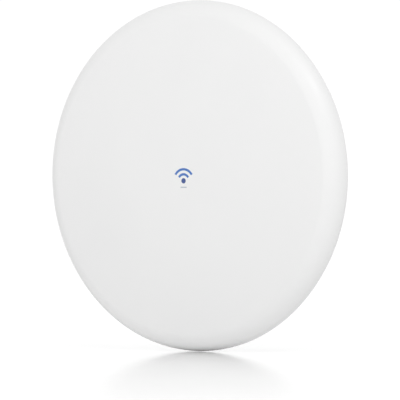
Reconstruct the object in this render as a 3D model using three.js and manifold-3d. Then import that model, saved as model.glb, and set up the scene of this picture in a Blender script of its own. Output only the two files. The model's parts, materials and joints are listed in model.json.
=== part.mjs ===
// Outdoor point-to-point wireless bridge: a closed round dish head on a ball-joint pole mount.
// Millimetres, +Z up. The origin is on the pole's axis, level with the ball joint.
// The dish looks along -Y, and its axis is the Y axis through the ball's centre.
import * as THREE from 'three';
import { mergeVertices } from 'three/addons/utils/BufferGeometryUtils.js';
import Module from 'manifold-3d';

const wasm = await Module();
wasm.setup();

// ---------- Driving dimensions ----------
const gap = 0.3; // clearance between pieces that seat on each other
const overlap = 0.5; // how far joined shapes run into each other
const past = 1; // how far a cutting shape runs past what it cuts
const round_segments = 48; // sides of the large turned pieces
const small_segments = 16; // sides of the small turned pieces
const ball_segments = 32; // sides of the ball, its cup and its socket
const hole_segments = 12; // sides of screws and their holes

// Front radome
const overall_diameter = 250;
const dome_height = 20; // widest circle to the apex of the face
const shoulder_radius = 14;
const edge_radius = 4; // rounding just behind the widest circle
const edge_turn = 48; // degrees that the rounding turns before the seam
const radome_wall = 2.5;
const skirt_wall = 2.2;
const skirt_start = -2; // where the skirt thickens, along the axis
const seal_wire = 1.2;
const seal_groove = 1.5; // depth of its groove
const seal_groove_half = 0.9; // half the width of its groove
const tongue_wall = 3;
const tongue_clear = 1.15; // from the tongue's front edge to the radome's inside

// Rear shell and reflector
const focal_length = 90;
const shell_wall = 3.6; // measured along the axis
const reflector_thickness = 1;
const reflector_gap = 1.5;
const ledge_width = 4;

// Radio housing on the back of the rear shell
const hub_radius = 48;
const hub_wall = 2.5;
const board_standoff = 4;
const board_thickness = 1.6;
const board_clear = 1; // between the board's edge and the housing's wall
const board_flat = 3; // depth of the straight cut at the board's lower edge
const seal_thickness = 0.7;
const cover_thickness = 3;
const cover_edge = 1.5;
const post_radius = 4.5; // posts under the cover's screws
const floor_reach = 5; // radio housing's floor inside the circle of screws
const screw_shank = 1.5;
const screw_head = 2.8;
const screw_head_height = 1.8;

// Ethernet jack, cable bay and its door
const jack_width = 16;
const jack_height = 13.5;
const jack_length = 21;
const jack_mouth_width = 11.8;
const jack_mouth_height = 8.2;
const jack_mouth_depth = 15;
const bay_wall = 3;
const bay_height = 25; // below the radio housing: a plug and its boot
const bay_floor = 1.5; // behind the bowl, beside the radio housing
const bay_corner = 6;
const door_thickness = 3.5;
const door_lip = 1.5; // rail lip that holds the door's edge
const door_edge = 1.4; // how far the door's edges reach under the lips
const door_bottom = 2.2;
const grommet_radius = 5.2;
const grommet_flange = 1.5; // its lip beyond the hole
const grommet_flange_thickness = 1.3;
const cable_radius = 3.3;
const reset_radius = 1.8;
const reset_clear = 4.2; // from the jack's side to the button's axis
const bay_margin = 1.5; // between the button and the bay's side
const reset_travel = 0.8;

// Ball stud
const ball_radius = 12;
const ball_neck = 5.2;
const ball_reach = 24; // hub cover's outer face to the ball's centre
const stud_flange_thickness = 3.5;
const stud_chamfer = 1.2;
const stud_screw_reach = 4; // of the screws' tips inside the cover
const neck_flare = 1.8;

// Pole mount
const pole_radius = 19;
const jaw_half_angle = 60; // half the angle of the vee, in degrees
const jaw_lip = 2; // flat beside the vee's mouth
const bracket_height = 66;
const tooth_depth = 1;
const tooth_count = 10; // on each side of the vee
const web = 2.6; // material each side of the strap slot
const rib_half = 2; // half the thickness of the plate's upright rib
const strap_thickness = 0.8;
const strap_ease = 0.5; // in front of and behind the strap in its slot
const strap_width = 12.7;
const strap_play = 0.8; // above and below the strap in its slot
const strap_bend = 5; // corner where the strap turns out of the slot
const cup_thickness = 2;
const cup_reach = 45; // degrees of the ball that the friction cup covers
const barrel_wall = 6;
const barrel_lip = 1; // barrel beyond the ball's centre
const collar_wall = 4.5;
const collar_length = 20;
const collar_front = 10; // from the ball's centre to the collar's front face
const collar_opening = 57; // degrees off the axis where the collar's seat ends
const collar_chamfer = 5;
const collar_flare = 2.4; // widening of its opening, so that the neck can swing
const grip_radius = 2;
const grip_count = 12;
const worm_radius = 4;
const worm_length = 15;
const thread_depth = 0.8;
const hex_radius = 4.6;
const hex_height = 4.5;
const slot_depth = 1.2; // screwdriver slot in the hexagon
const slot_half = 0.5;
const strap_side = -1; // the strap's screw sits at -X

// ---------- Sizes worked out from them ----------
const radius = overall_diameter / 2;
const degrees = Math.PI / 180;
const cap_rise = dome_height - shoulder_radius;
const flat_reach = radius - shoulder_radius;
// The face is an arc that runs smoothly into the shoulder's arc.
const cap_radius = (flat_reach ** 2 + dome_height ** 2 - shoulder_radius ** 2) / (2 * cap_rise);
const cap_turn = Math.asin(flat_reach / (cap_radius - shoulder_radius));
const seam_radius = radius - edge_radius * (1 - Math.cos(edge_turn * degrees));
const seam = edge_radius * Math.sin(edge_turn * degrees);
const skirt_inner = seam_radius - skirt_wall;
const tongue_outer = skirt_inner - gap;
const tongue_inner = tongue_outer - tongue_wall;
const tongue_room = (shoulder_radius - radome_wall) ** 2 - (tongue_outer - flat_reach) ** 2;
const tongue_reach = Math.sqrt(tongue_room) - tongue_clear; // in front of the widest circle
const bowl_start = seam + gap;

const bowlOutside = (r) => bowl_start + (seam_radius ** 2 - r ** 2) / (4 * focal_length);
const bowlInside = (r) => bowlOutside(r) - shell_wall;
const reflectorBack = (r) => bowlInside(r) - reflector_gap;
const reflectorFront = (r) => reflectorBack(r) - reflector_thickness;

// Even steps from the rim to the radio housing, where the bowl's curve is followed.
const bowl_radii = [1, 2, 3, 4, 5].map((i) => tongue_inner + ((hub_radius - tongue_inner) * i) / 5);

const hub_inner = hub_radius - hub_wall;
const post_circle = hub_inner - post_radius - 0.5;
const floor_inner = post_circle - floor_reach;
// The radio's parts keep their places as the housing grows or shrinks.
const layout = hub_inner / 45.5;
const board_front = reflectorBack(0) + board_standoff;
const board_back = board_front + board_thickness;
const jack_axis = board_back + gap + jack_height / 2;
const jack_back = board_back + gap + jack_height;
const reset_offset = jack_width / 2 + reset_clear;
const bay_width = 2 * (reset_offset + reset_radius + bay_margin);
const hub_end = board_back + gap + jack_height + 1.2;
const cover_front = hub_end + 2 * gap + seal_thickness;
const hub_back = cover_front + cover_thickness;
const ball_centre = hub_back + ball_reach;
const bay_top = -hub_radius;
const bay_bottom = bay_top - bay_height;
const bay_front = bowlOutside(hub_radius) + bay_floor;

const stud_screw_circle = ball_neck + screw_head + 2.2;
const stud_flange = stud_screw_circle + screw_head + 1;

const vee_bottom = pole_radius / Math.sin(jaw_half_angle * degrees);
const jaw_tip = pole_radius + 3; // half the width of the vee's mouth
const jaw_half_width = jaw_tip + jaw_lip;
const strap_slot = strap_thickness + 2 * strap_ease;
const slot_near = vee_bottom + tooth_depth + web;
const slot_far = slot_near + strap_slot;
const cup_inner = ball_radius + gap;
const cup_outer = cup_inner + cup_thickness;
const socket_radius = cup_outer + gap;
const plate_front = slot_far + web;
const pole_to_ball = plate_front + socket_radius;
const barrel_outer = socket_radius + barrel_wall;
const collar_inner = barrel_outer + gap;
const collar_outer = collar_inner + collar_wall;

// ---------- Shape helpers ----------

// The same surface with shared vertices, no zero-area triangles, and its faces pointing out.
function closed(geometry) {
  const bare = new THREE.BufferGeometry();
  bare.setAttribute('position', geometry.getAttribute('position'));
  bare.setIndex(geometry.index);
  const merged = mergeVertices(bare, 1e-4);
  const place = merged.getAttribute('position').array;
  const corner = (i) => new THREE.Vector3().fromArray(place, 3 * i);
  const kept = [];
  let volume = 0;
  for (let i = 0; i < merged.index.count; i += 3) {
    const [a, b, c] = [0, 1, 2].map((k) => merged.index.getX(i + k));
    if (a === b || b === c || c === a) continue;
    kept.push([a, b, c]);
    volume += corner(a).dot(corner(b).cross(corner(c)));
  }
  merged.setIndex(kept.flatMap(([a, b, c]) => (volume < 0 ? [a, c, b] : [a, b, c])));
  return merged;
}

function solid(geometry) {
  const mesh = closed(geometry);
  return new wasm.Manifold(new wasm.Mesh({
    numProp: 3,
    vertProperties: mesh.getAttribute('position').array,
    triVerts: new Uint32Array(mesh.index.array),
  }));
}

// Joins the first shape with the added ones, then takes the cutters away.
function shaped(base, added = [], cutters = []) {
  let body = solid(base);
  for (const shape of added) body = body.add(solid(shape));
  for (const shape of cutters) body = body.subtract(solid(shape));
  const mesh = body.getMesh();
  const result = new THREE.BufferGeometry();
  result.setAttribute('position', new THREE.BufferAttribute(mesh.vertProperties, 3));
  result.setIndex(new THREE.BufferAttribute(mesh.triVerts, 1));
  return result;
}

// A profile of [radius, y] points turned about the Y axis.
function turned(profile, segments = round_segments) {
  const points = profile.map(([r, y]) => new THREE.Vector2(Math.max(r, 0), y));
  return closed(new THREE.LatheGeometry(points, segments));
}

// A profile that doesn't reach the axis, closed on itself.
const turnedRing = (profile, segments) => turned([...profile, profile[0]], segments);

// Points on an arc in a turned profile: angles in degrees, 0 towards -Y and 90 away from the axis.
function arc(centre_r, centre_y, size, from, to, steps) {
  const points = [];
  for (let i = 0; i <= steps; i += 1) {
    const angle = (from + ((to - from) * i) / steps) * degrees;
    points.push([centre_r + size * Math.sin(angle), centre_y - size * Math.cos(angle)]);
  }
  return points;
}

// A cylinder along Y between two places.
function rod(r, from, to, x = 0, z = 0, segments = small_segments) {
  const shape = new THREE.CylinderGeometry(r, r, to - from, segments);
  return closed(shape.translate(x, (from + to) / 2, z));
}

// A cylinder along Z between two places.
function post(r, from, to, x = 0, y = 0, segments = small_segments) {
  const shape = new THREE.CylinderGeometry(r, r, to - from, segments).rotateX(Math.PI / 2);
  return closed(shape.translate(x, y, (from + to) / 2));
}

// A box between two corners.
function block([x0, y0, z0], [x1, y1, z1]) {
  const shape = new THREE.BoxGeometry(x1 - x0, y1 - y0, z1 - z0);
  return closed(shape.translate((x0 + x1) / 2, (y0 + y1) / 2, (z0 + z1) / 2));
}

// A flat outline in X and Y, extruded along Z.
function pillar(outline, from, to) {
  const options = { depth: to - from, bevelEnabled: false, curveSegments: 4 };
  return closed(new THREE.ExtrudeGeometry(outline, options).translate(0, 0, from));
}

// A flat outline in X and Z, extruded along Y.
function slab(outline, from, to) {
  const options = { depth: to - from, bevelEnabled: false, curveSegments: 4 };
  const shape = new THREE.ExtrudeGeometry(outline, options).rotateX(Math.PI / 2);
  return closed(shape.translate(0, to, 0));
}

// A rectangle with round corners, as an outline.
function roundedOutline(x0, y0, x1, y1, corner) {
  const outline = new THREE.Shape();
  outline.moveTo(x0 + corner, y0);
  outline.lineTo(x1 - corner, y0);
  outline.absarc(x1 - corner, y0 + corner, corner, -Math.PI / 2, 0, false);
  outline.lineTo(x1, y1 - corner);
  outline.absarc(x1 - corner, y1 - corner, corner, 0, Math.PI / 2, false);
  outline.lineTo(x0 + corner, y1);
  outline.absarc(x0 + corner, y1 - corner, corner, Math.PI / 2, Math.PI, false);
  outline.lineTo(x0, y0 + corner);
  outline.absarc(x0 + corner, y0 + corner, corner, Math.PI, 1.5 * Math.PI, false);
  return outline;
}

// Places on a circle around the Y axis, starting a given number of degrees from +X towards +Z.
function around(count, size, start = 0) {
  return Array.from({ length: count }, (unused, i) => {
    const angle = start * degrees + (2 * Math.PI * i) / count;
    return [size * Math.cos(angle), size * Math.sin(angle)];
  });
}

const cover_screws = around(4, post_circle, 45);
const stud_screws = around(3, stud_screw_circle, 90);

// ---------- Radome and reflector ----------

function frontRadome() {
  const shell = (inset, steps) => [
    ...arc(0, cap_radius - dome_height, cap_radius - inset, 0, cap_turn / degrees, steps),
    ...arc(flat_reach, 0, shoulder_radius - inset, cap_turn / degrees, 80, steps).slice(1),
  ];
  return turned([
    ...shell(0, 6),
    ...arc(radius - edge_radius, 0, edge_radius, 90, 90 + edge_turn, 3),
    [skirt_inner, seam],
    [skirt_inner, skirt_start],
    ...shell(radome_wall, 5).reverse(),
  ]);
}

function rimSeal() {
  const centre = (tongue_outer - seal_groove + skirt_inner) / 2;
  return turnedRing(arc(centre, 0, seal_wire / 2, 0, 300, 5));
}

function reflector() {
  const rim = tongue_inner - gap;
  const hole = feed_tube_radius + 1;
  const radii = [hole, ...bowl_radii.slice().reverse(), rim];
  const front = radii.map((r) => [r, reflectorFront(r)]);
  const back = radii.map((r) => [r, reflectorBack(r)]);
  return turnedRing([...front, ...back.reverse()]);
}

// ---------- Feed at the focus ----------

const feed_tube_radius = 6;
const feed_tube_bore = 3.6;
const feed_flange = 15;
const feed_flange_thickness = 1;
const nut_radius = 12;
const nut_thickness = 5;
const lens_mouth = -8; // along the axis, from the widest circle
const lens_base = 10;
const lens_waist = 9;
const lens_plug = 7; // how far the lens reaches into the tube
const plate_thickness = 2.5; // sub-reflector
const plate_lip = 2; // its edge beyond the lens
const lens_radius = 14;
const splash_cone = 3; // depth of the sub-reflector's cone

function feedTube() {
  const flange_front = reflectorBack(hub_inner / 3) + gap + feed_flange_thickness;
  return turnedRing([
    [feed_tube_bore, lens_base + gap],
    [feed_tube_radius, lens_base + gap],
    [feed_tube_radius, flange_front],
    [feed_flange, flange_front],
    [feed_flange, board_front - gap],
    [feed_tube_bore, board_front - gap],
  ], small_segments);
}

function feedNut() {
  const back = reflectorFront(0) - gap - feed_flange_thickness;
  const nut = new THREE.CylinderGeometry(nut_radius, nut_radius, nut_thickness, 6);
  const place = nut.translate(0, back - nut_thickness / 2, 0);
  return shaped(place, [], [rod(feed_tube_radius + gap, back - nut_thickness - past, back + past)]);
}

function feedLens() {
  return turned([
    [0, lens_mouth + splash_cone],
    [lens_radius - plate_lip, lens_mouth],
    [lens_radius, lens_mouth],
    [lens_radius, lens_mouth + splash_cone],
    [lens_waist, lens_mouth + lens_radius / 2],
    [feed_tube_radius, lens_base / 2],
    [feed_tube_radius, lens_base],
    [feed_tube_bore - gap, lens_base],
    [feed_tube_bore - gap, lens_base + lens_plug],
    [0, lens_base + lens_plug + splash_cone],
  ], 32);
}

function subReflector() {
  return turned([
    [0, lens_mouth - gap - plate_thickness],
    [lens_radius + plate_lip / 2, lens_mouth - gap - plate_thickness],
    [lens_radius + plate_lip, lens_mouth - gap - plate_thickness + plate_lip / 2],
    [lens_radius + plate_lip, lens_mouth - gap],
    [lens_radius - plate_lip, lens_mouth - gap],
    [0, lens_mouth + splash_cone - gap],
  ], 32);
}

// ---------- Rear shell and radio housing ----------

function rearShell() {
  const ledge = reflectorBack(tongue_inner - ledge_width) + gap;
  const groove = tongue_outer - seal_groove;
  const body = turnedRing([
    [tongue_inner, -tongue_reach],
    [tongue_outer, -tongue_reach],
    [tongue_outer, -seal_groove_half],
    [groove, -seal_groove_half],
    [groove, seal_groove_half],
    [tongue_outer, seal_groove_half],
    [tongue_outer, bowl_start],
    [seam_radius, bowl_start],
    ...bowl_radii.map((r) => [r, bowlOutside(r)]),
    [floor_inner, bowlOutside(floor_inner)],
    [floor_inner, bowlInside(floor_inner)],
    ...bowl_radii.map((r) => [r, bowlInside(r)]).reverse(),
    [tongue_inner - ledge_width, bowlInside(tongue_inner - ledge_width)],
    [tongue_inner - ledge_width, ledge],
    [tongue_inner, ledge],
  ]);
  return shaped(body, [], cover_screws.map(([x, z]) => {
    return rod(screw_shank + gap, bowlInside(floor_inner) - 2 * shell_wall, hub_end, x, z, hole_segments);
  }));
}

// The round housing behind the bowl, with the cable bay below it.
function radioHousing() {
  const back_of_bowl = (r) => [r, bowlOutside(r) + gap];
  const ring = turnedRing([
    back_of_bowl(floor_inner),
    back_of_bowl(hub_radius),
    [hub_radius, hub_end],
    [hub_inner, hub_end],
    [hub_inner, board_front - gap],
    [floor_inner, board_front - gap],
  ]);
  const half = bay_width / 2;
  const outer = half + bay_wall;
  const wall = roundedOutline(-outer, bay_bottom, outer, bay_top + 2 * bay_corner, bay_corner);
  const bay = slab(wall, bowlOutside(-bay_bottom) - overlap, hub_back);
  const bowl = turned([
    [0, -radius],
    [radius, -radius],
    ...bowl_radii.map(back_of_bowl),
    back_of_bowl(floor_inner),
    [0, bowlOutside(0) + gap],
  ]);
  const hub_space = rod(hub_inner, 0, hub_back + past, 0, 0, round_segments);
  const cover_seat = rod(hub_radius + gap, hub_end, hub_back + past, 0, 0, round_segments);
  const chin = shaped(bay, [], [bowl, hub_space, cover_seat]);
  const rail = half + door_edge + gap;
  const jack = jack_width / 2 + gap;
  const wall_depth = 3 * hub_wall + past;
  return shaped(ring, [chin], [
    block([-half, bay_front, bay_bottom - past], [half, hub_back + past, bay_top]),
    block([-rail, hub_back - door_thickness - gap, bay_bottom - past], [rail, hub_back - door_lip, bay_top]),
    block([-jack, board_back, bay_top - past], [jack, jack_back + gap, bay_top + wall_depth]),
    post(reset_radius + gap, bay_top - past, bay_top + wall_depth, reset_offset, jack_axis, hole_segments),
    ...cover_screws.map(([x, z]) => rod(screw_shank + gap, 0, board_front, x, z, hole_segments)),
  ]);
}

// ---------- Radio ----------

function radioBoard() {
  const front = board_front - past;
  const back = board_back + past;
  const disc = rod(hub_inner - board_clear, board_front, board_back, 0, 0, round_segments);
  const lower = block([-hub_radius, front, -hub_radius], [hub_radius, back, -hub_inner + board_flat]);
  const holes = cover_screws.map(([x, z]) => rod(screw_shank + gap, front, back, x, z, hole_segments));
  return shaped(disc, [], [lower, ...holes]);
}

const can_height = 3;
const can_wall = 0.5;
const pad_thickness = 1.5;
const fin_thickness = 1.4;
const fin_height = 6;
const spreader_thickness = 2;

// A sheet-metal can over part of the board, open towards the board.
function shieldCan(...sides) {
  const [x0, z0, x1, z1] = sides.map((side) => side * layout);
  const from = board_back + gap;
  const roof = from + can_height;
  return shaped(block([x0, from, z0], [x1, roof, z1]), [], [
    block([x0 + can_wall, from - past, z0 + can_wall], [x1 - can_wall, roof - can_wall, z1 - can_wall]),
  ]);
}

function thermalPad() {
  const from = board_back + can_height + 2 * gap;
  return block([-12 * layout, from, layout], [12 * layout, from + pad_thickness, 21 * layout]);
}

function heatSpreader() {
  const from = board_back + can_height + pad_thickness + 3 * gap;
  const half = 20 * layout;
  const outline = roundedOutline(-half, -3 * layout, half, 25 * layout, 3);
  const plate = slab(outline, from, from + spreader_thickness);
  const fins = [-5, -3, -1, 1, 3, 5].map((step) => {
    const x = (step * half) / 6.5;
    const fin = fin_thickness / 2;
    const front = from + spreader_thickness / 2;
    return block([x - fin, front, -2 * layout], [x + fin, from + fin_height, 24 * layout]);
  });
  return shaped(plate, fins);
}

const latch_half = 3;
const latch_depth = 1.4;
const latch_length = 8;

function ethernetJack() {
  const half = jack_width / 2;
  const from = board_back + gap;
  const mouth = bay_top - gap;
  const body = block([-half, from, mouth], [half, from + jack_height, mouth + jack_length]);
  const socket = block(
    [-jack_mouth_width / 2, jack_axis - jack_mouth_height / 2, mouth - past],
    [jack_mouth_width / 2, jack_axis + jack_mouth_height / 2, mouth + jack_mouth_depth],
  );
  const latch = block(
    [-latch_half, jack_axis, mouth - past],
    [latch_half, jack_axis + jack_mouth_height / 2 + latch_depth, mouth + latch_length],
  );
  return shaped(body, [], [socket, latch]);
}

const transformer_space = 1.5;
const transformer_length = 13.5;
const transformer_height = 7;

function ethernetTransformer() {
  const half = jack_width / 2;
  const front = board_back + gap;
  const from = bay_top + jack_length + transformer_space;
  return block([-half, front, from], [half, front + transformer_height, from + transformer_length]);
}

// ---------- Reset button ----------

const reset_inner_end = -hub_inner + 6.5;
const reset_tip = 0.9; // how far the button's tip stands into the bay
const plunger_radius = 1.4;
const plunger_length = 1.5;
const switch_length = 5;
const reset_flange = 2.9;
const reset_flange_thickness = 1.2;
const switch_half = 3;

function resetButton() {
  const flange = -Math.sqrt(hub_inner ** 2 - (reset_offset + reset_flange) ** 2) + reset_flange_thickness;
  const tip = bay_top - reset_tip;
  const pin = post(reset_radius, tip, reset_inner_end, reset_offset, jack_axis, hole_segments);
  const collar_end = flange + reset_flange_thickness;
  return shaped(pin, [post(reset_flange, flange, collar_end, reset_offset, jack_axis, hole_segments)]);
}

function resetSwitch() {
  const from = reset_inner_end + reset_travel + gap;
  const body = block(
    [reset_offset - switch_half, board_back + gap, from + reset_travel],
    [reset_offset + switch_half, jack_axis + switch_half, from + switch_length],
  );
  const plunger = post(plunger_radius, from, from + plunger_length, reset_offset, jack_axis, hole_segments);
  return shaped(body, [plunger]);
}

// ---------- Hub cover and what it carries ----------

const pipe_places = [-8, 0, 8].map((x) => [x, 30 * layout]);
const pipe_radius = 1.5;
const pipe_clear = 2; // between the pipes and the board
const vent_place = [-29 * layout, -14 * layout];
const vent_radius = 5;
const vent_stem = 3;
const vent_height = 2;
const ground_place = [29 * layout, -14 * layout];
const ground_shank = 2;
const ground_head = 3.8;
const ground_head_height = 2.6;
const ground_reach = 3; // of the screw's tip inside the cover
const washer_radius = 4.6;
const label_recess = 0.6;
const label_places = { x0: -15 * layout, z0: 34.5 * layout, x1: 15 * layout, z1: 43 * layout };

function hubSeal() {
  const from = hub_end + gap;
  const inner = hub_inner + gap;
  const outer = hub_radius - 2 * gap;
  return turnedRing([
    [inner, from],
    [outer, from],
    [outer, from + seal_thickness],
    [inner, from + seal_thickness],
  ]);
}

function hubCover() {
  const plate = turned([
    [0, cover_front],
    [hub_radius, cover_front],
    [hub_radius, hub_back - cover_edge],
    [hub_radius - cover_edge, hub_back],
    [0, hub_back],
  ]);
  const posts = cover_screws.map(([x, z]) => {
    return rod(post_radius, board_back + gap, cover_front + overlap, x, z);
  });
  const screw_holes = cover_screws.flatMap(([x, z]) => [
    rod(screw_shank + gap, board_back - past, hub_back + past, x, z, hole_segments),
    rod(screw_head + gap, hub_back - screw_head_height - gap, hub_back + past, x, z, hole_segments),
  ]);
  const through = (r, [x, z]) => rod(r + gap, cover_front - past, hub_back + past, x, z, hole_segments);
  return shaped(plate, posts, [
    ...screw_holes,
    ...stud_screws.map((place) => through(screw_shank, place)),
    ...pipe_places.map((place) => through(pipe_radius, place)),
    through(vent_stem, vent_place),
    through(ground_shank, ground_place),
    block(
      [label_places.x0 - gap, hub_back - label_recess, label_places.z0 - gap],
      [label_places.x1 + gap, hub_back + past, label_places.z1 + gap],
    ),
  ]);
}

const recess_depth = 0.9;
const recess_half = 0.4; // half the width of the cross's arms

// A screw along Y whose head's outer face is at a given place, with a cross recess.
function screw(shank, head, head_height, top, tip, [x, z]) {
  const body = rod(head, top - head_height, top, x, z, hole_segments);
  const recess = head * 0.6;
  const floor = top - recess_depth;
  return shaped(body, [rod(shank, tip, top - head_height + overlap, x, z, 12)], [
    block([x - recess, floor, z - recess_half], [x + recess, top + past, z + recess_half]),
    block([x - recess_half, floor, z - recess], [x + recess_half, top + past, z + recess]),
  ]);
}

function lightPipe([x, z]) {
  return rod(pipe_radius, board_back + pipe_clear, hub_back + gap, x, z, hole_segments);
}

function ventPlug() {
  const [x, z] = vent_place;
  const cap = turned([
    [0, hub_back + gap],
    [vent_radius, hub_back + gap],
    [vent_radius, hub_back + gap + vent_height / 2],
    [vent_radius - vent_height / 2, hub_back + gap + vent_height],
    [0, hub_back + gap + vent_height],
  ], small_segments).translate(x, 0, z);
  const stem_end = hub_back + gap + overlap;
  return shaped(cap, [rod(vent_stem, cover_front - vent_height, stem_end, x, z, hole_segments)]);
}

const washer_thickness = 0.8;

function groundWasher() {
  const [x, z] = ground_place;
  const from = hub_back + gap;
  const disc = rod(washer_radius, from, from + washer_thickness, x, z);
  const hole = rod(ground_shank + gap, from - past, from + washer_thickness + past, x, z, hole_segments);
  return shaped(disc, [], [hole]);
}

function groundScrew() {
  const seat = hub_back + washer_thickness + 2 * gap;
  const top = seat + ground_head_height;
  return screw(ground_shank, ground_head, ground_head_height, top, cover_front - ground_reach, ground_place);
}

function ratingLabel() {
  const { x0, z0, x1, z1 } = label_places;
  return slab(roundedOutline(x0, z0, x1, z1, 1), hub_back - label_recess + gap, hub_back);
}

// ---------- Cable door ----------

const grip_pitch = 2.4; // finger grooves in the door
const grip_half = 8;
const grip_depth = 0.7;

function portDoor() {
  const half = bay_width / 2;
  const front = hub_back - door_thickness;
  const lip_front = hub_back - door_lip - gap;
  const low = bay_bottom;
  const high = bay_top - gap;
  const panel = block([-half + gap, front, low], [half - gap, hub_back, high]);
  const edges = block([-half - door_edge, front, low + bay_corner], [half + door_edge, lip_front, high]);
  const bottom = block([-half + gap, bay_front + gap, low], [half - gap, front + overlap, low + door_bottom]);
  const slot = grommet_radius + gap;
  const notch_top = low + door_bottom + past;
  const notch = block([-slot, bay_front - past, low - past], [slot, jack_axis, notch_top]);
  const finger_grip = [1, 2, 3].map((i) => {
    const z = low + door_bottom + grip_pitch * (i - 0.5);
    return block([-grip_half, hub_back - grip_depth, z], [grip_half, hub_back + past, z + grip_pitch / 2]);
  });
  return shaped(panel, [edges, bottom], [
    notch,
    post(slot, low - past, notch_top, 0, jack_axis),
    ...finger_grip,
  ]);
}

function cableGrommet() {
  const low = bay_bottom;
  const seat = low + door_bottom + gap;
  const high = seat + grommet_flange_thickness;
  const flange_radius = grommet_radius + grommet_flange;
  const ring = post(grommet_radius, low, low + door_bottom, 0, jack_axis);
  const flange = post(flange_radius, seat, high, 0, jack_axis);
  const neck = post(grommet_radius - overlap, low + overlap, seat + overlap, 0, jack_axis);
  const front = jack_axis - flange_radius - past;
  const slit = block([-overlap, front, low - past], [overlap, jack_axis, high + past]);
  return shaped(ring, [neck, flange], [post(cable_radius, low - past, high + past, 0, jack_axis), slit]);
}

// ---------- Ball stud ----------

function ballStud() {
  const base = hub_back + gap;
  const flange_back = base + stud_flange_thickness;
  const neck_turn = Math.asin(ball_neck / ball_radius) / degrees;
  const body = turned([
    [0, base],
    [stud_flange, base],
    [stud_flange, flange_back - stud_chamfer],
    [stud_flange - stud_chamfer, flange_back],
    [ball_neck + neck_flare, flange_back],
    [ball_neck, flange_back + neck_flare],
    ...arc(0, ball_centre, ball_radius, neck_turn, 180, 9),
  ], ball_segments);
  return shaped(body, [], stud_screws.flatMap(([x, z]) => [
    rod(screw_shank + gap, base - past, flange_back + past, x, z, hole_segments),
    rod(screw_head + gap, flange_back - screw_head_height, flange_back + past, x, z, hole_segments),
  ]));
}

// ---------- Pole mount, with the ball's centre at y = -pole_to_ball ----------

function poleBracket() {
  const low = -bracket_height / 2;
  const high = bracket_height / 2;
  const slope = 1 / Math.tan(jaw_half_angle * degrees);
  const face = (x) => -vee_bottom + Math.abs(x) * slope;
  const side = [[jaw_half_width, face(jaw_tip) - jaw_lip], [jaw_tip, face(jaw_tip)]];
  for (let i = tooth_count; i > 0; i -= 1) {
    const outer = (jaw_tip * (i - 0.5)) / tooth_count;
    const inner = (jaw_tip * (i - 1)) / tooth_count;
    side.push([outer, face(outer) - tooth_depth]);
    if (i > 1) side.push([inner, face(inner)]);
  }
  const chamfer = 4;
  const outline = [
    [jaw_half_width - chamfer, -plate_front],
    [jaw_half_width, -plate_front + chamfer],
    ...side,
    [0, -vee_bottom - tooth_depth],
    ...side.map(([x, y]) => [-x, y]).reverse(),
    [-jaw_half_width, -plate_front + chamfer],
    [-jaw_half_width + chamfer, -plate_front],
  ];
  const plate = pillar(new THREE.Shape(outline.map(([x, y]) => new THREE.Vector2(x, y))), low, high);
  const barrel = rod(barrel_outer, -pole_to_ball - barrel_lip, -plate_front + overlap, 0, 0, ball_segments);
  const socket = turned(arc(0, -pole_to_ball, socket_radius, 0, 180, 12), ball_segments);
  const mouth = rod(socket_radius, -pole_to_ball - barrel_lip - past, -pole_to_ball, 0, 0, ball_segments);
  const z = strap_width / 2 + strap_play;
  const window = pole_radius - strap_bend;
  const relief = (x0, x1) => block([x0, -slot_far, -z], [x1, 0, z]);
  const corner = 9;
  const rib_front = -pole_to_ball + (collar_length - collar_front) + 2 * gap;
  const rib = block([-rib_half, rib_front, low + corner], [rib_half, -plate_front + overlap, high - corner]);
  return shaped(plate, [barrel, rib], [
    socket,
    mouth,
    block([-jaw_half_width - past, -slot_far, -z], [jaw_half_width + past, -slot_near, z]),
    relief(window, jaw_half_width + past),
    relief(-jaw_half_width - past, -window),
  ]);
}

function frictionCup() {
  const outside = arc(0, -pole_to_ball, cup_outer, 180, 180 - cup_reach, 4);
  const inside = arc(0, -pole_to_ball, cup_inner, 180 - cup_reach, 180, 4);
  return turned([...outside, ...inside], ball_segments);
}

function lockCollar() {
  const y = (s) => -pole_to_ball - s;
  const seat = arc(0, -pole_to_ball, cup_inner, collar_opening, 78, 2);
  const rear = collar_front - collar_length;
  const ring = turnedRing([
    [collar_outer, y(rear)],
    [collar_outer, y(collar_front - collar_chamfer)],
    [collar_outer - collar_chamfer, y(collar_front)],
    [seat[0][0] + collar_flare, y(collar_front)],
    ...seat,
    [seat.at(-1)[0], y(2 * barrel_lip)],
    [collar_inner, y(2 * barrel_lip)],
    [collar_inner, y(rear)],
  ], ball_segments);
  const grips = around(grip_count, collar_outer - overlap).map(([x, z]) => {
    return rod(grip_radius, y(collar_front - collar_chamfer - 1), y(rear + 1), x, z, 6);
  });
  return shaped(ring, grips);
}

// ---------- Strap clamp ----------

const strap_inner = pole_radius + gap;

function strapBand() {
  const front = slot_near + strap_ease;
  const loop = (inset) => {
    const half = strap_inner + inset;
    const near = front + inset;
    const corner = strap_bend - past + inset;
    const path = new THREE.Path();
    path.moveTo(half, 0);
    path.absarc(0, 0, half, 0, Math.PI, false);
    path.lineTo(-half, -near + corner);
    path.absarc(-half + corner, -near + corner, corner, Math.PI, 1.5 * Math.PI, false);
    path.lineTo(half - corner, -near);
    path.absarc(half - corner, -near + corner, corner, -Math.PI / 2, 0, false);
    return path;
  };
  const outline = new THREE.Shape(loop(strap_thickness).getPoints(8));
  outline.holes.push(new THREE.Path(loop(0).getPoints(8)));
  return pillar(outline, -strap_width / 2, strap_width / 2);
}

const worm_axis = strap_side * (strap_inner + strap_thickness + 3 * gap + worm_radius);
const housing_half = worm_length / 2 - 1;
const housing_wall = 1.2;
const housing_foot = 2;

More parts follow.
